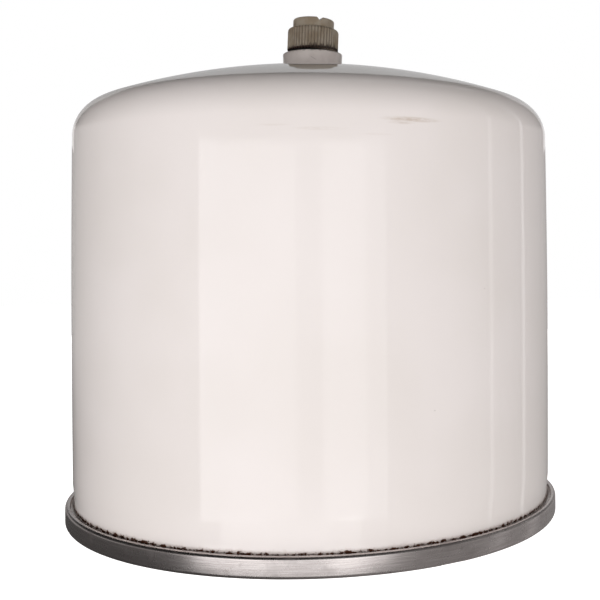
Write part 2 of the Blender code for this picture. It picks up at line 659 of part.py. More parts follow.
clear_scene()
build_gas_shell()
build_water_shell()
build_clamp_ring()
build_diaphragm()
build_water_nipple()
build_nipple_weld()
build_inlet_guard()
build_valve_boss()
build_valve_stem()
build_stem_seal()
build_core_plug()
build_core_barrel()
build_core_gasket()
build_core_pin()
build_core_spring()
build_core_cup()
build_core_washer()
build_valve_cap()
build_cap_o_ring()
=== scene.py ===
import math

import bmesh
import bpy
from mathutils import Euler, Matrix, Vector


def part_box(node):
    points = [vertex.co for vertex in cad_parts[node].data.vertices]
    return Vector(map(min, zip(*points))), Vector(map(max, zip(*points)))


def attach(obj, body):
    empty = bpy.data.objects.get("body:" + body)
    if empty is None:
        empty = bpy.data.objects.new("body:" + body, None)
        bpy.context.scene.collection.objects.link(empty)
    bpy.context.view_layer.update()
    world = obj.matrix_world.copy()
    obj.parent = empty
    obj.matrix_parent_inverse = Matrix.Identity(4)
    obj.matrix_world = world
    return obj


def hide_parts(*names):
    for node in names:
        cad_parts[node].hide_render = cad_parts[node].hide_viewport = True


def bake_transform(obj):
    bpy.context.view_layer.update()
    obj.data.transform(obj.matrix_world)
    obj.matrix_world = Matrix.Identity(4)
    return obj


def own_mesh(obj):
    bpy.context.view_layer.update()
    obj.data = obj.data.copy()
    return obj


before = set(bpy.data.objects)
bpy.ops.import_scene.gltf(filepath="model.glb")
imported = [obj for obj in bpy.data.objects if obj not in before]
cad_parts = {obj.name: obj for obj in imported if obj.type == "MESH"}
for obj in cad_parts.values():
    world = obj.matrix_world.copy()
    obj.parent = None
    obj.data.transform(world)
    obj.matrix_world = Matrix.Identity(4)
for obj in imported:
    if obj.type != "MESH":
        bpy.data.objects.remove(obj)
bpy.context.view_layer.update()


# Water connection. A turned steel nipple with a parallel pipe thread, zinc plated and passivated,
# pushed through the pan from below and welded to it.
NIPPLE_BORE = 0.0095
NIPPLE_PITCH = 0.001814
NIPPLE_THREAD_DEPTH = 0.0011
NIPPLE_LEAD = 0.0006  # plain end below the thread
NIPPLE_THREAD_TOP = 0.0117
NIPPLE_EDGE = 0.0004  # chamfer at the mouth
GUARD_SEAT = 0.0015
GAP = 0.0003  # clearance between pieces that touch
TINY = 1e-6  # rounding room when radii and heights are compared
SHARP_EDGE = math.radians(40)  # edges sharper than this are not shaded smooth


def arc(centre_r, centre_z, radius, start, end, steps):
    """Points (r, z) along an arc, angles in degrees from +r towards +z, both ends included."""
    angles = [math.radians(start + (end - start) * i / steps) for i in range(steps + 1)]
    return [(centre_r + radius * math.cos(a), centre_z + radius * math.sin(a)) for a in angles]


def turned(outline, segments):
    """A bmesh turned about Z from (r, z) points: a loop, or an open line with both ends on the axis."""
    bm = bmesh.new()
    verts = [bm.verts.new((r, 0.0, z)) for r, z in outline]
    edges = [bm.edges.new(pair) for pair in zip(verts, verts[1:])]
    if outline[0][0] > 0 or outline[-1][0] > 0:
        edges.append(bm.edges.new((verts[-1], verts[0])))
    bmesh.ops.spin(
        bm,
        geom=verts + edges,
        cent=(0, 0, 0),
        axis=(0, 0, 1),
        angle=math.tau,
        steps=segments,
        use_merge=True,
    )
    bmesh.ops.remove_doubles(bm, verts=bm.verts, dist=1e-7)
    bmesh.ops.recalc_face_normals(bm, faces=bm.faces)
    return bm


def levels(low, high, pitch, per_pitch):
    """Heights for the rows of a thread."""
    steps = round((high - low) / pitch * per_pitch)
    return [low + (high - low) * i / steps for i in range(steps + 1)]


def cut_thread(bm, crest, depth, pitch, low, high, runout):
    """Cut a right-hand helix into the wall at radius crest; runout 1 ends at the root, 0 at the wall."""
    for vert in bm.verts:
        radius = math.hypot(vert.co.x, vert.co.y)
        if abs(radius - crest) > TINY or not low - TINY <= vert.co.z <= high + TINY:
            continue
        turn = vert.co.z / pitch - math.atan2(vert.co.y, vert.co.x) / math.tau
        wave = 0.5 + 0.5 * math.cos(math.tau * turn)
        ease = max(0.0, min(1.0, (vert.co.z - low) * 2 / pitch, (high - vert.co.z) * 2 / pitch))
        scale = 1 - depth * (wave * ease + runout * (1 - ease)) / radius
        vert.co.x *= scale
        vert.co.y *= scale


def piece(bm, name, material):
    """An object from a bmesh, shaded smooth except at its sharp edges."""
    mesh = bpy.data.meshes.new(name)
    bm.to_mesh(mesh)
    bm.free()
    mesh.materials.append(material)
    mesh.shade_smooth()
    mesh.set_sharp_from_angle(angle=SHARP_EDGE)
    made = bpy.data.objects.new(name, mesh)
    bpy.context.scene.collection.objects.link(made)
    return made


def stands_for(made, node, body):
    """The piece takes a CAD node's place on its body; the node is hidden."""
    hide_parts(node)
    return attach(made, body)


def colour(code):
    """An sRGB hex value as linear red, green, blue and alpha."""
    parts = [int(code[i : i + 2], 16) / 255 for i in (0, 2, 4)]
    return (*(p / 12.92 if p <= 0.04045 else ((p + 0.055) / 1.055) ** 2.4 for p in parts), 1.0)


def surface(name, code, roughness, metallic=0.0, **constants):
    """A material with its shader's constants set; returns it, its node tree, shader and coordinates."""
    made = bpy.data.materials.new(name)
    made.use_nodes = True
    shader = made.node_tree.nodes["Principled BSDF"]
    shader.inputs["Base Color"].default_value = colour(code)
    shader.inputs["Roughness"].default_value = roughness
    shader.inputs["Metallic"].default_value = metallic
    for socket, value in constants.items():
        shader.inputs[socket].default_value = value
    spot = add(made.node_tree, "ShaderNodeTexCoord", {}).outputs["Object"]
    return made, made.node_tree, shader, spot


def add(tree, kind, sockets, **settings):
    """Add a node: settings are its own properties, sockets give its inputs a value or a link."""
    made = tree.nodes.new(kind)
    for key, value in settings.items():
        setattr(made, key, value)
    for key, value in sockets.items():
        if isinstance(value, bpy.types.NodeSocket):
            tree.links.new(value, made.inputs[key])
        else:
            made.inputs[key].default_value = value
    return made


def split(tree, vector):
    """A vector's three parts."""
    return add(tree, "ShaderNodeSeparateXYZ", {0: vector}).outputs[:3]


def flat_distance(tree, along, across):
    """How far a point is from the origin, by its two parts."""
    away = add(tree, "ShaderNodeCombineXYZ", {0: along, 1: across})
    return add(tree, "ShaderNodeVectorMath", {0: away.outputs[0]}, operation="LENGTH").outputs["Value"]


def stretched(tree, vector, scale):
    """Coordinates scaled along each axis; a noise on them runs long where the scale is small."""
    return add(tree, "ShaderNodeMapping", {"Vector": vector, "Scale": scale}).outputs[0]


def noise(tree, vector, size, detail=3.0, rough=0.5):
    """A noise between 0 and 1 whose blotches are about the given size in metres."""
    sockets = {"Vector": vector, "Scale": 1 / size, "Detail": detail, "Roughness": rough}
    return add(tree, "ShaderNodeTexNoise", sockets).outputs["Fac"]


def ramp(tree, value, low, high, to_low=0.0, to_high=1.0):
    """A value eased from one range to another."""
    sockets = {"Value": value, 1: low, 2: high, 3: to_low, 4: to_high}
    return add(tree, "ShaderNodeMapRange", sockets, interpolation_type="SMOOTHSTEP").outputs[0]


def calc(tree, operation, *values):
    """One sum on one or two values."""
    return add(tree, "ShaderNodeMath", dict(enumerate(values)), operation=operation).outputs[0]


def tint(tree, factor, under, over):
    """The colour under, covered by the colour over as far as the factor says; hex or sockets."""
    pair = [colour(c) if isinstance(c, str) else c for c in (under, over)]
    sockets = {0: factor, 6: pair[0], 7: pair[1]}
    return add(tree, "ShaderNodeMix", sockets, data_type="RGBA").outputs[2]


def relief(tree, shader, height, depth, under=None):
    """Raise the surface by a height from 0 to 1 times a depth in metres; returns the bent normal."""
    sockets = {"Height": height, "Distance": depth, "Strength": 1.0}
    if under is not None:
        sockets["Normal"] = under
    normal = add(tree, "ShaderNodeBump", sockets).outputs["Normal"]
    tree.links.new(normal, shader.inputs["Normal"])
    return normal


def zinc_plate():
    """Zinc plate, passivated: satin grey with a faint yellow bloom, turning lines and dark grime."""
    made, tree, shader, spot = surface("zinc_plate_passivated", "BDBAB2", 0.34, 1.0)
    bloom = ramp(tree, noise(tree, spot, 0.006, 4.0), 0.4, 0.65)
    base = tint(tree, bloom, "C4C2BC", "A9A07F")
    grime = ramp(tree, noise(tree, spot, 0.0025, 5.0, 0.6), 0.58, 0.75)
    tree.links.new(tint(tree, grime, base, "57503F"), shader.inputs["Base Color"])
    tree.links.new(ramp(tree, bloom, 0.0, 1.0, 0.28, 0.46), shader.inputs["Roughness"])
    lines = stretched(tree, spot, (0.05, 0.05, 1.0))
    relief(tree, shader, noise(tree, lines, 0.0002, 2.0), 0.00001)  # turning lines, drawn coarse
    return made


nipple_low, nipple_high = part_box("water_nipple")
nipple_r = nipple_high.x
seat_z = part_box("inlet_guard")[0].z - GAP
thread_low, thread_high = nipple_low.z + NIPPLE_LEAD, nipple_low.z + NIPPLE_THREAD_TOP
outline = [
    (NIPPLE_BORE, nipple_low.z + NIPPLE_EDGE),
    (NIPPLE_BORE + NIPPLE_EDGE, nipple_low.z),
    (nipple_r - NIPPLE_THREAD_DEPTH - NIPPLE_EDGE, nipple_low.z),
    (nipple_r - NIPPLE_THREAD_DEPTH, nipple_low.z + NIPPLE_EDGE),
]
outline += [(nipple_r, z) for z in levels(thread_low, thread_high, NIPPLE_PITCH, 10)]
outline += [
    (nipple_r, nipple_high.z - NIPPLE_EDGE),
    (nipple_r - NIPPLE_EDGE, nipple_high.z),
    (NIPPLE_BORE + GUARD_SEAT, nipple_high.z),
    (NIPPLE_BORE + GUARD_SEAT, seat_z),
    (NIPPLE_BORE, seat_z),
]
bm = turned(outline, 96)
cut_thread(bm, nipple_r, NIPPLE_THREAD_DEPTH, NIPPLE_PITCH, thread_low, thread_high, 1)
zinc = zinc_plate()
stands_for(piece(bm, "pipe_nipple", zinc), "water_nipple", "vessel")


# Inlet guard. A punched steel disc dropped into the nipple's inner end, bright from the press
# and lightly speckled by water.
def pressed_steel():
    """Mild steel from the press: cool grey, with rolled grain one way and small brown water spots."""
    made, tree, shader, spot = surface("pressed_mild_steel", "A8A6A2", 0.4, 1.0)
    grain = stretched(tree, spot, (1.0, 0.06, 0.06))
    streaks = noise(tree, grain, 0.0003, 3.0)
    base = tint(tree, streaks, "8F8C88", "BDBBB7")
    spots = ramp(tree, noise(tree, spot, 0.0015, 4.0), 0.62, 0.7)
    tree.links.new(tint(tree, spots, base, "5E3B24"), shader.inputs["Base Color"])
    tree.links.new(ramp(tree, spots, 0.0, 1.0, 0.36, 0.8), shader.inputs["Roughness"])
    relief(tree, shader, streaks, 0.000008)
    return made


def refinish(node, material):
    """A CAD node keeps its shape and takes a better material."""
    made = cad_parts[node]
    made.data.materials.clear()
    made.data.materials.append(material)


refinish("inlet_guard", pressed_steel())


# Water pan. A shallow pressed dish with a flat flange, enamelled like the drum: warm white, mirror-like at
# a slant, with rust creeping from the bare cut edges. The nipple is welded in its middle, and the clamp
# ring grips its flange.
SHEET = 0.0015
PAN_FLANGE = 0.0087  # width of the flat flange
DISH_STEPS = 24
DRAWN_WAVE = 0.00005  # slow waves left by the drawing press
SPECK_SPACING = 0.013
SCUFF_RADIUS = 0.1225  # the wall's, to turn an angle into a length
SCUFFS = (  # azimuth in degrees, height, half length, half height, strength
    (19.8, 0.2238, 0.0130, 0.0011, 1.0),
    (17.6, 0.2222, 0.0060, 0.0006, 0.5),
    (1.0, 0.2190, 0.0110, 0.0009, 0.22),
    (-8.0, 0.2206, 0.0080, 0.0006, 0.16),
    (12.5, 0.2170, 0.0070, 0.0006, 0.14),
    (-155.0, 0.1210, 0.0120, 0.0012, 0.4),
    (128.0, 0.0900, 0.0080, 0.0009, 0.35),
)


def stoved_enamel(name, white, shade, rust_z, rust_run):
    """White paint baked to a hard gloss, with a faint orange peel, rusting near the height rust_z."""
    made, tree, shader, spot = surface(name, white, 0.04, 0.0, IOR=1.5)
    x, y, z = split(tree, spot)
    angle = calc(tree, "ARCTAN2", x, calc(tree, "MULTIPLY", y, -1.0))
    cloud = ramp(tree, noise(tree, spot, 0.07, 2.0), 0.35, 0.65)
    base = tint(tree, cloud, white, shade)
    rub = None
    for azimuth, height, long, tall, strength in SCUFFS:
        aside = calc(tree, "SUBTRACT", angle, math.radians(azimuth))
        along = calc(tree, "MULTIPLY", aside, SCUFF_RADIUS / long)
        across = calc(tree, "DIVIDE", calc(tree, "SUBTRACT", z, height), tall)
        patch = ramp(tree, flat_distance(tree, along, across), 1.3, 0.2, 0.0, strength)
        rub = patch if rub is None else calc(tree, "MAXIMUM", rub, patch)
    drag = stretched(tree, spot, (0.14, 0.14, 1.0))
    torn = ramp(tree, noise(tree, drag, 0.0006, 5.0, 0.7), 0.28, 0.6)
    rub = calc(tree, "MULTIPLY", rub, torn)
    base = tint(tree, calc(tree, "MULTIPLY", rub, 0.5), base, "A48662")
    cells = add(tree, "ShaderNodeTexVoronoi", {"Vector": spot, "Scale": 1 / SPECK_SPACING})
    chosen = ramp(tree, split(tree, cells.outputs["Color"])[0], 0.6, 0.62)
    speck = calc(tree, "MULTIPLY", ramp(tree, cells.outputs["Distance"], 0.022, 0.012), chosen)
    base = tint(tree, calc(tree, "MULTIPLY", speck, 0.55), base, "7A6557")
    reach = ramp(tree, noise(tree, spot, 0.0026, 5.0, 0.65), 0.4, 0.66, 0.0, rust_run)
    gap = calc(tree, "ABSOLUTE", calc(tree, "SUBTRACT", z, rust_z))
    rust = ramp(tree, calc(tree, "SUBTRACT", reach, gap), -0.0002, 0.00025)
    halo = ramp(tree, calc(tree, "SUBTRACT", reach, gap), -0.0016, 0.0002, 0.0, 0.22)
    base = tint(tree, halo, base, "9A6B4A")
    flake = tint(tree, noise(tree, spot, 0.0011, 4.0), "1D0D07", "6B3A20")
    tree.links.new(tint(tree, rust, base, flake), shader.inputs["Base Color"])
    gloss = ramp(tree, noise(tree, spot, 0.03, 4.0), 0.3, 0.7, 0.025, 0.05)
    dull = calc(tree, "MAXIMUM", rust, calc(tree, "MULTIPLY", rub, 0.6))
    rough = calc(tree, "MAXIMUM", gloss, calc(tree, "MULTIPLY", dull, 0.85))
    tree.links.new(rough, shader.inputs["Roughness"])
    drawn = relief(tree, shader, noise(tree, spot, 0.045, 1.0), DRAWN_WAVE)
    peel = relief(tree, shader, noise(tree, spot, 0.0018, 2.0), 0.0000045, drawn)
    relief(tree, shader, calc(tree, "MULTIPLY", rust, noise(tree, spot, 0.0008, 3.0)), 0.0002, peel)
    return made


def dish(edge_r, edge_z, centre_z, inner_r):
    """Points of a shallow bowl from its edge in to inner_r, lowest on the axis."""
    drop = edge_z - centre_z
    radius = (edge_r**2 + drop**2) / (2 * drop)
    places = [edge_r + (inner_r - edge_r) * i / DISH_STEPS for i in range(DISH_STEPS + 1)]
    return [(r, centre_z + radius - math.sqrt(radius**2 - r**2)) for r in places]


ring_low, ring_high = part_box("clamp_ring")
pan_low, pan_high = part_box("water_shell")
weld_low, weld_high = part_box("nipple_weld")
flange_r = pan_high.x
pan_edge = flange_r - PAN_FLANGE
pan_bottom = weld_high.z + GAP / 2
pan_flange_z = pan_high.z - SHEET
hole = nipple_r + GAP
outline = [(flange_r, pan_flange_z)]
outline += dish(pan_edge, pan_flange_z, pan_bottom, hole)
outline += dish(pan_edge - GAP, pan_high.z, pan_bottom + SHEET, hole)[::-1]
outline += [(flange_r, pan_high.z)]
enamel_pan = stoved_enamel("stoved_enamel_on_pan", "E9E1DE", "E2D9D5", ring_low.z, rust_run=0.0016)
pan = piece(turned(outline, 192), "pan_shell", enamel_pan)
stands_for(pan, "water_shell", "vessel")


# Nipple weld. One pass of fillet weld laid round the nipple, its ripples softened by the paint over it.
WELD_RIPPLES = 46
WELD_RIPPLE = 0.00022
WELD_LEG = 0.003
WELD_ROUND = 0.0026
WELD_TOE = 0.0004
WELD_LEAN = 1.6  # radians that a ripple trails from root to toe

weld_inner = -weld_low.x - WELD_LEG
outline = [(weld_inner, weld_high.z), (weld_inner, weld_low.z)]
outline += arc(weld_inner + WELD_TOE, weld_high.z - WELD_TOE, WELD_ROUND, -85, -5, 8)
outline += [(weld_high.x, weld_high.z)]
bm = turned(outline, WELD_RIPPLES * 6)
for vert in bm.verts:
    radius = math.hypot(vert.co.x, vert.co.y)
    share = (radius - weld_inner) / (weld_high.x - weld_inner)
    lift = math.sin(math.pi * min(1.0, share)) * WELD_RIPPLE
    turn = math.atan2(vert.co.y, vert.co.x) * WELD_RIPPLES + share * WELD_LEAN
    vert.co.z += lift * (0.5 + 0.5 * math.cos(turn)) * (vert.co.z < weld_high.z - TINY)
enamel_weld = stoved_enamel("stoved_enamel_on_weld", "E7DDD9", "DACFCA", weld_low.z, rust_run=0.0008)
stands_for(piece(bm, "weld_bead", enamel_weld), "nipple_weld", "vessel")


# Diaphragm. Moulded butyl rubber with a flat bead that the ring grips. It parts the water from the gas
# and rises into the drum as the heating water expands.
BEAD_TAPER = 0.0015
RUBBER_SHEET = 0.0020


def butyl_rubber():
    """Moulded butyl: matt charcoal, with talc bloom in soft patches and a fine satin grain."""
    made, tree, shader, spot = surface("moulded_butyl_rubber", "1C1C1D", 0.7, 0.0, IOR=1.52)
    talc = ramp(tree, noise(tree, spot, 0.02, 5.0), 0.45, 0.7)
    tree.links.new(tint(tree, talc, "19191A", "38383A"), shader.inputs["Base Color"])
    tree.links.new(ramp(tree, talc, 0.0, 1.0, 0.6, 0.85), shader.inputs["Roughness"])
    relief(tree, shader, noise(tree, spot, 0.0006, 2.0), 0.00003)
    return made


bead_low, bead_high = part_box("diaphragm")
bead_z = pan_high.z + GAP
sheet_top = bead_low.z + RUBBER_SHEET
outline = [(0.0, sheet_top)]
outline += dish(pan_edge - BEAD_TAPER, bead_z + RUBBER_SHEET, sheet_top, 0.0)[-2::-1]
outline += [(pan_edge + BEAD_TAPER, bead_high.z), (flange_r - GAP, bead_high.z)]
outline += [(flange_r, bead_high.z - GAP), (flange_r, bead_z + GAP), (flange_r - GAP, bead_z)]
outline += dish(pan_edge, bead_z, bead_low.z, 0.0)
diaphragm = piece(turned(outline, 160), "rubber_diaphragm", butyl_rubber())
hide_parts("diaphragm")
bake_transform(diaphragm)


# Drum. Deep drawn from one steel disc: a rolled flange, a neck drawn in above it, a wall that swells
# slightly, a tight shoulder and a flat crown. Enamelled in gloss white all over.
NECK_STEP = 0.0006  # how far the neck is drawn in
NECK_HEIGHT = 0.0045
NECK_RUN = 0.0110
WALL_BULGE = 0.0005
BEND = 0.0013  # outside radius of the bend from wall to flange
FLANGE_REACH = 0.0027
SHOULDER_ROUND = 0.0192
CROWN_ROUND = 0.325
BOSS_SPIGOT = 0.0117
WALL_ROWS = 30
BODY_STEPS = 320  # steps round the drum and the ring
RUST_DROP = 0.0002  # the rust line, below the ring's top


def eased(share):
    """A share between 0 and 1, eased at both ends."""
    share = max(0.0, min(1.0, share))
    return share * share * (3 - 2 * share)


shell_low, shell_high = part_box("gas_shell")
neck_r = flange_r - FLANGE_REACH
wall_r = neck_r + NECK_STEP
hole = BOSS_SPIGOT + GAP
shoulder_r = wall_r - SHOULDER_ROUND
centre_drop = math.sqrt((CROWN_ROUND - SHOULDER_ROUND) ** 2 - shoulder_r**2)
crown_z = shell_high.z - math.sqrt(CROWN_ROUND**2 - hole**2) + CROWN_ROUND
crown_centre = crown_z - CROWN_ROUND
shoulder_z = crown_centre + centre_drop
crown_angle = math.degrees(math.atan2(centre_drop, shoulder_r))
bend_z = shell_low.z + SHEET + BEND
wall_z = bend_z + NECK_HEIGHT
outer, inner = [(flange_r, shell_low.z + SHEET)], [(flange_r, shell_low.z)]
outer += arc(neck_r + BEND, bend_z, BEND, 270, 180, 8)
inner += arc(neck_r + BEND, bend_z, BEND + SHEET, 270, 180, 8)
for i in range(WALL_ROWS):
    height = wall_z + (shoulder_z - wall_z) * i / WALL_ROWS
    rise = (height - bend_z - NECK_RUN) / (shoulder_z - bend_z - NECK_RUN)
    swell = WALL_BULGE * math.sin(math.pi * max(0.0, rise))
    r = neck_r + NECK_STEP * eased((height - wall_z) / (NECK_RUN - NECK_HEIGHT)) + swell
    outer.append((r, height))
    inner.append((r - SHEET, height))
outer += arc(shoulder_r, shoulder_z, SHOULDER_ROUND, 0, crown_angle, 28)
inner += arc(shoulder_r, shoulder_z, SHOULDER_ROUND - SHEET, 0, crown_angle, 12)
rim = math.degrees(math.acos(hole / CROWN_ROUND))
outer += arc(0, crown_centre, CROWN_ROUND, crown_angle, rim, 30)[1:]
rim = math.degrees(math.acos(hole / (CROWN_ROUND - SHEET)))
inner += arc(0, crown_centre, CROWN_ROUND - SHEET, crown_angle, rim, 12)[1:]
rust_line = ring_high.z - RUST_DROP
enamel = stoved_enamel("stoved_white_enamel", "F0E8E5", "ECE4E0", rust_line, rust_run=0.0011)
drum = piece(turned(outer + inner[::-1], BODY_STEPS), "drum_shell", enamel)
stands_for(drum, "gas_shell", "vessel")


# Clamp ring. A C-section rolled from bright steel strip and closed over both flanges, with long rolling
# lines round it, dull patches, and dirt where its lips meet the paint.
RING_SHEET = 0.0013
RING_ROUND = 0.0016
TOP_LIP = 0.0026
BOTTOM_LIP = 0.0068
NICK_AT = 27.4  # azimuth in degrees of a small dent in the lower corner
NICK_WIDTH = 1.3
NICK_DEPTH = 0.0005
LOW_DIRT = 0.0022  # how far dirt reaches up from the ring's foot
HIGH_DIRT = 0.0012  # and down from its top


def rolled_steel():
    """Bright rolled strip: grey mirror blurred along its rolling lines, duller and browner in patches."""
    made, tree, shader, spot = surface("rolled_bright_steel_strip", "A9A7A3", 0.3, 1.0)
    x, y, z = split(tree, spot)
    layer = calc(tree, "ADD", flat_distance(tree, x, y), z)
    flat_x, flat_y = calc(tree, "MULTIPLY", x, 0.03), calc(tree, "MULTIPLY", y, 0.03)
    flat = add(tree, "ShaderNodeCombineXYZ", {0: flat_x, 1: flat_y, 2: layer})
    lines = noise(tree, flat.outputs[0], 0.00045, 4.0, 0.6)
    base = tint(tree, ramp(tree, lines, 0.3, 0.7), "BFB7B5", "D2CBC9")
    patch = ramp(tree, noise(tree, spot, 0.012, 5.0, 0.6), 0.5, 0.72)
    base = tint(tree, calc(tree, "MULTIPLY", patch, 0.3), base, "8C8381")
    brown = ramp(tree, noise(tree, spot, 0.005, 6.0, 0.65), 0.6, 0.7)
    low = ramp(tree, z, ring_low.z + LOW_DIRT, ring_low.z, 0.15, 0.8)
    high = ramp(tree, z, ring_high.z - HIGH_DIRT, ring_high.z, 0.0, 0.6)
    brown = calc(tree, "MULTIPLY", brown, calc(tree, "MAXIMUM", low, high))
    tree.links.new(tint(tree, brown, base, "4A3020"), shader.inputs["Base Color"])
    dull = calc(tree, "MAXIMUM", calc(tree, "MULTIPLY", patch, 0.4), brown)
    tree.links.new(ramp(tree, dull, 0.0, 1.0, 0.27, 0.6), shader.inputs["Roughness"])
    bent = relief(tree, shader, lines, 0.0000012)
    relief(tree, shader, noise(tree, spot, 0.012, 2.0), 0.00002, bent)
    return made


ring_r = ring_high.x
corner = ring_r - RING_ROUND
lip = RING_SHEET / 2
outline = arc(ring_r - BOTTOM_LIP + lip, ring_low.z + lip, lip, 90, 270, 8)
outline += arc(corner, ring_low.z + RING_ROUND, RING_ROUND, -90, 0, 10)
outline += arc(corner, ring_high.z - RING_ROUND, RING_ROUND, 0, 90, 10)
outline += arc(ring_r - TOP_LIP + lip, ring_high.z - lip, lip, 90, 270, 8)
inside_r = ring_r - RING_SHEET
outline += [(inside_r, ring_high.z - RING_SHEET), (inside_r, ring_low.z + RING_SHEET)]
bm = turned(outline, BODY_STEPS)
for vert in bm.verts:
    radius = math.hypot(vert.co.x, vert.co.y)
    azimuth = math.degrees(math.atan2(vert.co.x, -vert.co.y))
    if radius > corner and vert.co.z < ring_low.z + RING_ROUND:
        press = math.exp(-(((azimuth - NICK_AT) / NICK_WIDTH) ** 2)) * NICK_DEPTH
        vert.co.z += press
        vert.co.x *= 1 - press / radius
        vert.co.y *= 1 - press / radius
stands_for(piece(bm, "ring_strip", rolled_steel()), "clamp_ring", "vessel")


# Valve boss. A turned steel boss projection welded to the crown and enamelled with the drum, with a
# threaded recess for the cap and a floor that the stem passes through.
BOSS_EDGE = 0.0006
BOSS_MOUTH = 0.0005
BOSS_FLOOR = 0.0010
CAP_PITCH = 0.002
CAP_THREAD_DEPTH = 0.0010
CAP_THREAD_R = 0.0106  # crests of the cap's thread
STEM_SHANK = 0.0047
BOSS_FOOT = 0.0004  # paint fillet where the boss meets the crown
TOP_STEPS = 128  # steps round the boss, the O-ring and the cap's spigot
SCRATCH_X = 0.0004  # the scratch's middle
SCRATCH_DROP = 0.0046  # and its depth below the boss's top
SCRATCH_SLOPE = 0.62
SCRATCH_HALF = 0.0016  # half its width
RIM_DIRT = 0.0011


def boss_enamel():
    """The same enamel, thinner over turned steel: greyer, with a scratch and dirt at the top edge."""
    made, tree, shader, spot = surface("stoved_enamel_on_boss", "D9CFCA", 0.14, 0.0, IOR=1.5)
    x, y, z = split(tree, spot)
    base = tint(tree, ramp(tree, noise(tree, spot, 0.008, 3.0), 0.35, 0.65), "DBD2CD", "D0C6C1")
    slope = calc(tree, "ADD", calc(tree, "MULTIPLY", x, SCRATCH_SLOPE), z)
    crossing = boss_high.z - SCRATCH_DROP + SCRATCH_X * SCRATCH_SLOPE
    line = ramp(tree, calc(tree, "ABSOLUTE", calc(tree, "SUBTRACT", slope, crossing)), 0.00022, 0.00006)
    aside = calc(tree, "ABSOLUTE", calc(tree, "SUBTRACT", x, SCRATCH_X))
    short = ramp(tree, aside, SCRATCH_HALF, 0.0010)
    front = ramp(tree, y, -0.010, -0.012)
    scratch = calc(tree, "MULTIPLY", calc(tree, "MULTIPLY", line, short), front)
    base = tint(tree, calc(tree, "MULTIPLY", scratch, 0.5), base, "7C6F69")
    rim_dirt = ramp(tree, z, boss_high.z - RIM_DIRT, boss_high.z, 0.0, 0.75)
    smudge = calc(tree, "MULTIPLY", rim_dirt, ramp(tree, noise(tree, spot, 0.0016, 5.0), 0.35, 0.6))
    tree.links.new(tint(tree, smudge, base, "4B3A2E"), shader.inputs["Base Color"])
    tree.links.new(ramp(tree, smudge, 0.0, 1.0, 0.12, 0.55), shader.inputs["Roughness"])
    bent = relief(tree, shader, noise(tree, spot, 0.0015, 2.0), 0.000008)
    relief(tree, shader, scratch, -0.00003, bent)
    return made


boss_low, boss_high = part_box("valve_boss")
boss_r = boss_high.x
boss_floor = crown_z + BOSS_FLOOR
boss_seat = crown_centre + math.sqrt((CROWN_ROUND + GAP) ** 2 - BOSS_SPIGOT**2)
root = CAP_THREAD_R + GAP
hole = STEM_SHANK + GAP
outline = [(hole, boss_low.z), (BOSS_SPIGOT, boss_low.z), (BOSS_SPIGOT, boss_seat)]
outline += [(boss_r - BOSS_FOOT, boss_seat - GAP)]
outline += arc(boss_r, boss_seat + BOSS_FOOT, BOSS_FOOT, 240, 180, 4)
outline += arc(boss_r - BOSS_EDGE, boss_high.z - BOSS_EDGE, BOSS_EDGE, 0, 90, 12)
outline += [(root + BOSS_MOUTH, boss_high.z)]
thread_low, thread_high = boss_floor + BOSS_MOUTH, boss_high.z - BOSS_MOUTH
outline += [(root, z) for z in levels(thread_low, thread_high, CAP_PITCH, 10)[::-1]]
outline += [(root, boss_floor), (hole, boss_floor)]
bm = turned(outline, TOP_STEPS)
cut_thread(bm, root, CAP_THREAD_DEPTH, CAP_PITCH, thread_low, thread_high, 0)
stands_for(piece(bm, "boss_body", boss_enamel()), "valve_boss", "vessel")


# Valve stem and core. Turned brass: the stem's flange sits on a rubber washer in the recess, and the
# core's plug, barrel, spring, pin and cup hang inside its bore.
STEM_THREAD_PITCH = 0.0008
STEM_THREAD_DEPTH = 0.00035
STEM_R = 0.00385
STEM_CHAMFER = 0.0004
STEM_FLANGE_THICK = 0.0018
CORE_BORE = 0.0027
SEAT_BORE = 0.0021
SEAT_DEPTH = 0.0062
SEAT_CONE = 0.0010


def brass(name, code, worn):
    """Turned brass: yellow, with close tool lines round it and brown tarnish in the hollows."""
    made, tree, shader, spot = surface(name, code, 0.28, 1.0)
    tarnish = ramp(tree, noise(tree, spot, 0.0022, 4.0), 0.45, 0.7)
    base = tint(tree, calc(tree, "MULTIPLY", tarnish, 0.7), code, worn)
    tree.links.new(base, shader.inputs["Base Color"])
    tree.links.new(ramp(tree, tarnish, 0.0, 1.0, 0.22, 0.45), shader.inputs["Roughness"])
    flat = stretched(tree, spot, (0.05, 0.05, 1.0))
    relief(tree, shader, noise(tree, flat, 0.00015, 2.0), 0.000006)
    return made


stem_low, stem_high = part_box("valve_stem")
seal_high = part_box("stem_seal")[1]
flange_z = seal_high.z + GAP
seat_z = stem_high.z - SEAT_DEPTH
outline = [
    (SEAT_BORE, stem_low.z),
    (STEM_SHANK, stem_low.z),
    (STEM_SHANK, flange_z),
    (stem_high.x - GAP, flange_z),
    (stem_high.x, flange_z + GAP),
    (stem_high.x, flange_z + STEM_FLANGE_THICK - GAP),
    (stem_high.x - GAP, flange_z + STEM_FLANGE_THICK),
]
thread_low, thread_high = flange_z + STEM_FLANGE_THICK, stem_high.z - STEM_CHAMFER
outline += [(STEM_R, z) for z in levels(thread_low, thread_high, STEM_THREAD_PITCH, 8)]
outline += [(STEM_R - STEM_CHAMFER, stem_high.z), (CORE_BORE, stem_high.z)]
outline += [(CORE_BORE, seat_z), (SEAT_BORE, seat_z - SEAT_CONE)]
bm = turned(outline, 64)
cut_thread(bm, STEM_R, STEM_THREAD_DEPTH, STEM_THREAD_PITCH, thread_low, thread_high, 0)
stem_brass = brass("turned_stem_brass", "D9B56A", "7B5A2B")
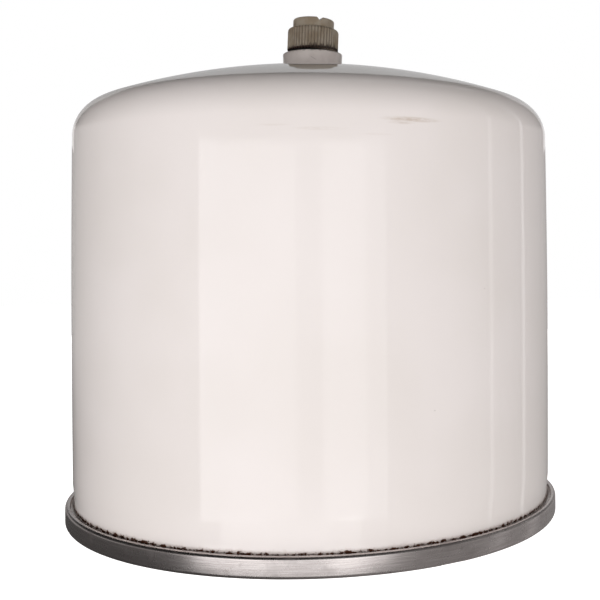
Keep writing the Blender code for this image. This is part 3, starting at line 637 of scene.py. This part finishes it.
stands_for(piece(bm, "stem_body", stem_brass), "valve_stem", "vessel")
core_brass = brass("turned_core_brass", "D4AE62", "6E4F26")
for node in ("core_plug", "core_barrel", "core_cup"):
    refinish(node, core_brass)


def spring_steel():
    """Drawn steel wire and pin: bright grey, with drawing marks and a trace of oil."""
    made, tree, shader, spot = surface("drawn_spring_steel", "C2C1BE", 0.25, 1.0)
    oil = ramp(tree, noise(tree, spot, 0.0012, 3.0), 0.45, 0.65)
    tree.links.new(tint(tree, oil, "C8C7C4", "9A958B"), shader.inputs["Base Color"])
    tree.links.new(ramp(tree, oil, 0.0, 1.0, 0.2, 0.36), shader.inputs["Roughness"])
    relief(tree, shader, noise(tree, spot, 0.0002, 2.0), 0.000004)
    return made


def nitrile(name, code):
    """Moulded nitrile: black with a faint sheen, a fine grain and grey dust."""
    made, tree, shader, spot = surface(name, code, 0.5, 0.0, IOR=1.52)
    dust = ramp(tree, noise(tree, spot, 0.002, 5.0), 0.5, 0.75)
    base = tint(tree, calc(tree, "MULTIPLY", dust, 0.5), code, "3A3632")
    tree.links.new(base, shader.inputs["Base Color"])
    tree.links.new(ramp(tree, dust, 0.0, 1.0, 0.42, 0.75), shader.inputs["Roughness"])
    relief(tree, shader, noise(tree, spot, 0.0004, 2.0), 0.00001)
    return made


def fluoropolymer():
    """Turned fluoropolymer: waxy, off-white, with soft turning marks."""
    made, tree, shader, spot = surface("turned_fluoropolymer", "D8D4C8", 0.45, 0.0, IOR=1.35)
    soft = noise(tree, spot, 0.0012, 3.0)
    tree.links.new(tint(tree, soft, "DAD6CA", "C9C3B4"), shader.inputs["Base Color"])
    relief(tree, shader, soft, 0.00001)
    return made


steel_wire = spring_steel()
refinish("core_pin", steel_wire)
refinish("core_gasket", fluoropolymer())
washer_rubber = nitrile("moulded_nitrile_washer", "161617")
refinish("stem_seal", washer_rubber)
refinish("core_washer", washer_rubber)
spring = bpy.data.objects.new("core_spring_wire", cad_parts["core_spring"].data.copy())
bpy.context.scene.collection.objects.link(spring)
spring.data.materials.clear()
spring.data.materials.append(steel_wire)
stands_for(spring, "core_spring", "vessel")
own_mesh(spring)


# O-ring. A nitrile cord ring under the cap's skirt. The cap was screwed on a little crooked, so its low
# side squeezes the ring.
CAP_TILT = math.radians(2.5)  # about the front-to-back axis, low at +X
CAP_SINK = 0.0004  # how far the crooked cap sits below square
O_RING_R = 0.0120

cap_low, cap_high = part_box("valve_cap")
o_low, o_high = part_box("cap_o_ring")
cord_r = (o_high.z - o_low.z) / 2
bm = turned(arc(O_RING_R, (o_low.z + o_high.z) / 2, cord_r, 0, 350, 20), TOP_STEPS)
room = o_high.z + GAP - boss_high.z
for vert in bm.verts:
    squeezed = room - CAP_SINK - math.tan(CAP_TILT) * vert.co.x
    vert.co.z = boss_high.z + (vert.co.z - boss_high.z) * min(1.0, squeezed / room)
o_ring = piece(bm, "o_ring_cord", nitrile("moulded_nitrile_cord", "0C0C0D"))
stands_for(o_ring, "cap_o_ring", "cap_ring")


# Cap. Moulded in grey-beige polyamide: a ribbed skirt to grip, a plug-shaped top with a driver slot, and
# a hollow threaded spigot. Handled and greasy, with brown grime up from the rim; painted shade darkens the
# grooves between the ribs.
RIB_COUNT = 48
RIB_DEPTH = 0.0006
RIB_START = 0.0008  # outside the plug, where the ribs begin
RIB_EASE = 0.0012
RIB_FLATTEN = 0.8  # below 1 the grooves are wider than the ribs
SKIRT_HEIGHT = 0.0121
SKIRT_ROUND = 0.0018
PLUG_R = 0.0109
PLUG_EDGE = 0.0010
PLUG_CROWN = 0.0003  # how far the plug's top is domed
PLUG_FOOT = 0.0005
SPIGOT_LENGTH = 0.0068
SPIGOT_LEAD = 0.0005
SPIGOT_BORE = 0.0078
CAP_WALL = 0.0027
SLOT_WIDTH = 0.0040
SLOT_DEPTH = 0.0026
SLOT_ANGLE = math.radians(18)
SLOT_FLARE = 1.6  # the cutter's top, wider than the slot
SLOT_RISE = 0.6  # and above the cap, as a share of the depth
GROOVE_PAST = 0.002  # how far the cutters start outside the cap
HOLLOW_PAST = 0.003
TILT_START = 0.0012  # the tilt sets in this far under the rim
TILT_EASE = 0.001
CAP_SHARP_EDGE = math.radians(32)


def moulded_polyamide():
    """Moulded polyamide, aged: dull grey-beige, yellower in places, with grime up from the rim."""
    made, tree, shader, spot = surface("moulded_polyamide_aged", "8E8173", 0.42, 0.0, IOR=1.53)
    x, y, z = split(tree, spot)
    aged = ramp(tree, noise(tree, spot, 0.006, 4.0), 0.35, 0.65)
    base = tint(tree, aged, "A09484", "8E7F6C")
    flat = stretched(tree, spot, (1.0, 1.0, 0.2))
    streak = noise(tree, flat, 0.0011, 4.0, 0.6)
    reach = ramp(tree, streak, 0.3, 0.75, 0.0008, 0.0050)
    height = calc(tree, "SUBTRACT", z, cap_rim)
    grime = ramp(tree, calc(tree, "DIVIDE", height, reach), 1.0, 0.1)
    grime = calc(tree, "MAXIMUM", grime, ramp(tree, height, 0.0013, 0.0007))
    inside = ramp(tree, z, cap_rim - 0.0002, cap_rim - 0.0004, 1.0, 0.25)
    base = tint(tree, calc(tree, "MULTIPLY", grime, inside), base, "26120A")
    # Painted shade: below the shoulder, every groove between the ribs is darkened evenly towards dark
    # brown.
    upright = calc(tree, "SUBTRACT", x, calc(tree, "MULTIPLY", height, math.tan(CAP_TILT)))
    wave = calc(tree, "COSINE", calc(tree, "MULTIPLY", calc(tree, "ARCTAN2", y, upright), RIB_COUNT))
    painted_rib_shade = ramp(tree, wave, 0.1, -0.9, 0.0, 0.5)
    painted_rib_shade = calc(tree, "MULTIPLY", painted_rib_shade, ramp(tree, z, shoulder, shoulder - 0.001))
    base = tint(tree, painted_rib_shade, base, "4A3A2A")
    fleck = ramp(tree, noise(tree, spot, 0.0009, 2.0), 0.7, 0.76, 0.0, 0.6)
    tree.links.new(tint(tree, fleck, base, "4E3826"), shader.inputs["Base Color"])
    tree.links.new(ramp(tree, grime, 0.0, 1.0, 0.36, 0.62), shader.inputs["Roughness"])
    bent = relief(tree, shader, noise(tree, spot, 0.0004, 3.0), 0.000012)  # moulded grain
    relief(tree, shader, noise(tree, spot, 0.003, 2.0), 0.00006, bent)
    return made


def apply_boolean(made, other, operation):
    """Join or cut a piece with another object, and take that object away."""
    modifier = made.modifiers.new(operation.title(), "BOOLEAN")
    modifier.operation = operation
    modifier.object = other
    evaluated = made.evaluated_get(bpy.context.evaluated_depsgraph_get())
    mesh = bpy.data.meshes.new_from_object(evaluated)
    made.modifiers.clear()
    made.data = mesh
    bpy.data.objects.remove(other)


cap_rim = o_high.z  # the skirt's rim is level with the top of the O-ring
cap_top = cap_high.z
cap_r = cap_high.x
shoulder = cap_rim + SKIRT_HEIGHT
polyamide = moulded_polyamide()
outline = [(0.0, cap_rim), (cap_r - RIB_DEPTH, cap_rim), (cap_r, cap_rim + RIB_DEPTH)]
outline += [(cap_r, cap_rim + (SKIRT_HEIGHT - SKIRT_ROUND) * i / 6) for i in range(1, 6)]
outline += arc(cap_r - SKIRT_ROUND, shoulder - SKIRT_ROUND, SKIRT_ROUND, 0, 90, 10)
outline += arc(PLUG_R + PLUG_FOOT, shoulder + PLUG_FOOT, PLUG_FOOT, 270, 180, 4)
outline += arc(PLUG_R - PLUG_EDGE, cap_top - PLUG_CROWN - PLUG_EDGE, PLUG_EDGE, 0, 80, 8)
dome_r = PLUG_R - PLUG_EDGE
outline += [(dome_r * (1 - i / 8), cap_top - PLUG_CROWN * (1 - i / 8) ** 2) for i in range(1, 9)]
bm = turned(outline, RIB_COUNT * 8)
for vert in bm.verts:
    radius = math.hypot(vert.co.x, vert.co.y)
    wave = math.cos(math.atan2(vert.co.y, vert.co.x) * RIB_COUNT)
    share = eased((radius - PLUG_R - RIB_START) / RIB_EASE) * (vert.co.z > cap_rim - TINY)
    scale = 1 - RIB_DEPTH * share * (0.5 - 0.5 * wave) ** RIB_FLATTEN / max(radius, TINY)
    vert.co.x *= scale
    vert.co.y *= scale
cap = piece(bm, "cap_body", polyamide)
groove_r = O_RING_R + cord_r + GAP / 2
groove_z = o_high.z + GAP
groove_foot = cap_rim - GROOVE_PAST
outline = [(0.0, groove_foot), (groove_r, groove_foot), (groove_r, groove_z), (0.0, groove_z)]
groove_cutter = piece(turned(outline, TOP_STEPS), "groove_cutter", polyamide)
apply_boolean(cap, groove_cutter, "DIFFERENCE")
thread_high = boss_high.z + GAP
thread_low = thread_high - SPIGOT_LENGTH
spigot_foot, spigot_top = thread_low - SPIGOT_LEAD, cap_rim + SKIRT_HEIGHT / 2
outline = [(0.0, spigot_foot), (CAP_THREAD_R - CAP_THREAD_DEPTH, spigot_foot)]
outline += [(CAP_THREAD_R, z) for z in levels(thread_low, thread_high, CAP_PITCH, 10)]
outline += [(CAP_THREAD_R, spigot_top), (0.0, spigot_top)]
bm = turned(outline, TOP_STEPS)
cut_thread(bm, CAP_THREAD_R, CAP_THREAD_DEPTH, CAP_PITCH, thread_low, thread_high, 1)
apply_boolean(cap, piece(bm, "spigot_body", polyamide), "UNION")
hollow_top = cap_top - CAP_WALL
hollow_foot = thread_low - HOLLOW_PAST
outline = [(0.0, hollow_foot), (SPIGOT_BORE, hollow_foot), (SPIGOT_BORE, hollow_top - PLUG_EDGE)]
outline += [(SPIGOT_BORE - PLUG_EDGE, hollow_top), (0.0, hollow_top)]
hollow_cutter = piece(turned(outline, 96), "hollow_cutter", polyamide)
apply_boolean(cap, hollow_cutter, "DIFFERENCE")
bm = bmesh.new()
half = SLOT_WIDTH / 2
wide, above = half * SLOT_FLARE, SLOT_DEPTH * SLOT_RISE
section = [(-wide, above), (-half, 0.0), (0.0, -SLOT_DEPTH), (half, 0.0), (wide, above)]
front = bm.faces.new([bm.verts.new((x, -cap_r, z)) for x, z in section])
swept = bmesh.ops.extrude_face_region(bm, geom=[front])
back = [item for item in swept["geom"] if isinstance(item, bmesh.types.BMVert)]
bmesh.ops.translate(bm, vec=(0, 2 * cap_r, 0), verts=back)
bmesh.ops.recalc_face_normals(bm, faces=bm.faces)
slot_cutter = piece(bm, "slot_cutter", polyamide)
slot_cutter.matrix_world = Matrix.Translation((0, 0, cap_top)) @ Matrix.Rotation(SLOT_ANGLE, 4, "Z")
apply_boolean(cap, slot_cutter, "DIFFERENCE")
for vert in cap.data.vertices:
    share = eased((vert.co.z - cap_rim + TILT_START) / TILT_EASE)
    vert.co.z -= share * (CAP_SINK + math.tan(CAP_TILT) * vert.co.x)
    vert.co.x += share * math.tan(CAP_TILT) * (vert.co.z - cap_rim)
cap.data.shade_smooth()
cap.data.set_sharp_from_angle(angle=CAP_SHARP_EDGE)
stands_for(cap, "valve_cap", "cap")


# Floor, lights and camera. A lit white table under a white sweep. A wide softbox with a dim seam stands in
# front, strips at the right and behind draw long reflections, and low fills all round and light thrown up
# from the table brighten the enamel.
TABLE_RADIUS = 3.0
AIM = Vector((0, 0, 0.16))  # where the lights point, the vessel's middle
FRONT_DISTANCE = 1.3
BAND_LIGHT = 0.36  # the room's bright band, just above the table
ROOM_TINT = (1.0, 0.97, 0.96, 1.0)
WHITE = (1.0, 1.0, 1.0, 1.0)
CAMERA_PLACE = (0, -0.5333, 0.1675)
CAMERA_TURN = (90.67, 0.0, -4.72)  # degrees about X, Y and Z
CAMERA_ROLL = -0.384  # degrees about its own axis
SENSOR_WIDTH = 36.0
LENS = 59.8
LENS_SHIFT = (-0.16, -0.098)


def toward(azimuth, elevation):
    """Unit vector to a place round the vessel; azimuth 0 is in front, 90 to the right."""
    a, e = math.radians(azimuth), math.radians(elevation)
    return Vector((math.sin(a) * math.cos(e), -math.cos(a) * math.cos(e), math.sin(e)))


def pale_table():
    """Matt white acrylic lit from below, with a faint mottle; clear from underneath."""
    made, tree, shader, spot = surface("pale_acrylic_table", "F2F1EF", 0.8, 0.0)
    mottle = tint(tree, noise(tree, spot, 0.08, 3.0), "F4F3F1", "EFEEEC")
    tree.links.new(mottle, shader.inputs["Base Color"])
    shader.inputs["Emission Color"].default_value = WHITE
    shader.inputs["Emission Strength"].default_value = 1.0
    clear = add(tree, "ShaderNodeBsdfTransparent", {})
    under = add(tree, "ShaderNodeNewGeometry", {}).outputs["Backfacing"]
    seen = add(tree, "ShaderNodeMixShader", {0: under, 1: shader.outputs[0], 2: clear.outputs[0]})
    tree.links.new(seen.outputs[0], tree.nodes["Material Output"].inputs["Surface"])
    return made


bm = bmesh.new()
bmesh.ops.create_circle(bm, cap_ends=True, radius=TABLE_RADIUS, segments=96)
table = piece(bm, "pale_table", pale_table())
table.visible_glossy = False
table.visible_diffuse = False
table.visible_shadow = False


def softbox(name, azimuth, elevation, distance, width, height, radiance, diffuse=True, glossy=True):
    """A rectangular light of even radiance, facing the vessel's middle."""
    data = bpy.data.lights.new(name, "AREA")
    data.shape = "RECTANGLE"
    data.size, data.size_y = width, height
    data.energy = radiance * math.pi * width * height
    made = bpy.data.objects.new(name, data)
    bpy.context.scene.collection.objects.link(made)
    direction = toward(azimuth, elevation)
    facing = (-direction).to_track_quat("-Z", "Y").to_matrix().to_4x4()
    made.matrix_world = Matrix.Translation(AIM + direction * distance) @ facing
    made.visible_camera = False
    made.visible_diffuse = diffuse
    made.visible_glossy = glossy
    return made


for name, start, end, foot, top, radiance in (  # azimuths in degrees, then heights of its edges
    ("front_box_edge", -49.5, -41.0, -0.34, 0.37, 1.65),
    ("front_box_left", -41.0, -7.5, -0.34, 0.37, 1.42),
    ("front_box_seam", -7.5, 3.7, -0.34, 0.37, 0.75),
    ("front_box_right", 3.7, 22.0, -0.34, 0.37, 1.55),
    ("front_box_fade", 22.0, 31.0, -0.34, 0.37, 0.9),
    ("front_box_foot", -41.0, 20.0, -0.55, -0.34, 1.0),
):
    middle, span = (start + end) / 2, math.radians(end - start)
    width = 2 * FRONT_DISTANCE * math.tan(span / 2)
    made = softbox(name, middle, 0.0, FRONT_DISTANCE, width, top - foot, radiance)
    made.matrix_world.translation.z = (top + foot) / 2
softbox("right_strip", 86.0, 4.0, 1.4, 0.06, 2.0, 0.75, diffuse=False)
softbox("far_right_strip", 112.0, 4.0, 1.4, 0.07, 2.0, 0.7, diffuse=False)
softbox("key_fill", -10.0, -9.0, 1.5, 2.2, 1.0, 1.5, glossy=False)
softbox("left_fill", -72.0, -20.0, 1.5, 1.3, 1.0, 1.1, glossy=False)
softbox("right_fill", 75.0, -12.0, 1.5, 1.3, 1.0, 1.3, glossy=False)
softbox("back_fill", 180.0, 0.0, 1.6, 2.4, 1.2, 1.5, glossy=False)
softbox("back_top_fill", 180.0, 48.0, 1.6, 2.2, 0.9, 1.0, glossy=False)
softbox("back_sweep", 180.0, 22.0, 1.55, 1.9, 0.74, 0.46, diffuse=False)
softbox("table_bounce", 0.0, -90.0, 1.2, 2.4, 2.4, 0.36, glossy=False)
softbox("high_strip", 133.0, 67.0, 1.5, 0.06, 1.25, 1.3, diffuse=False)

world = bpy.data.worlds.new("white_sweep")
bpy.context.scene.world = world
world.use_nodes = True
tree = world.node_tree
tree.nodes.clear()
way = add(tree, "ShaderNodeTexCoord", {}).outputs["Generated"]
x, y, z = split(tree, way)
beneath = ramp(tree, x, -0.6, 0.6, 0.07, 0.28)  # the room is darker at the left
side = ramp(tree, x, -0.4, 0.4, 0.03, 0.16)
aloft = calc(tree, "MULTIPLY", side, ramp(tree, z, 0.5, 0.9, 1.0, 0.4))
over_band, over_table = ramp(tree, z, 0.13, 0.2), ramp(tree, z, -0.2, -0.05)
walls = add(tree, "ShaderNodeMix", {0: over_band, 2: BAND_LIGHT, 3: aloft}, data_type="FLOAT").outputs[0]
level = add(tree, "ShaderNodeMix", {0: over_table, 2: beneath, 3: walls}, data_type="FLOAT").outputs[0]
room_light = add(tree, "ShaderNodeBackground", {"Color": ROOM_TINT, "Strength": level})
sweep = add(tree, "ShaderNodeBackground", {"Color": WHITE, "Strength": 1.0})
seen = add(tree, "ShaderNodeLightPath", {}).outputs["Is Camera Ray"]
mixed = add(tree, "ShaderNodeMixShader", {0: seen, 1: room_light.outputs[0], 2: sweep.outputs[0]})
add(tree, "ShaderNodeOutputWorld", {0: mixed.outputs[0]})

data = bpy.data.cameras.new("camera")
data.sensor_width = SENSOR_WIDTH
data.lens = LENS
data.shift_x, data.shift_y = LENS_SHIFT
data.clip_start, data.clip_end = 0.01, 50.0
camera = bpy.data.objects.new("camera", data)
bpy.context.scene.collection.objects.link(camera)
aim = Euler([math.radians(turn) for turn in CAMERA_TURN]).to_matrix().to_4x4()
roll = Matrix.Rotation(math.radians(CAMERA_ROLL), 4, "Z")
camera.matrix_world = Matrix.Translation(CAMERA_PLACE) @ aim @ roll
bpy.context.scene.camera = camera
bpy.context.scene.view_settings.view_transform = "Standard"
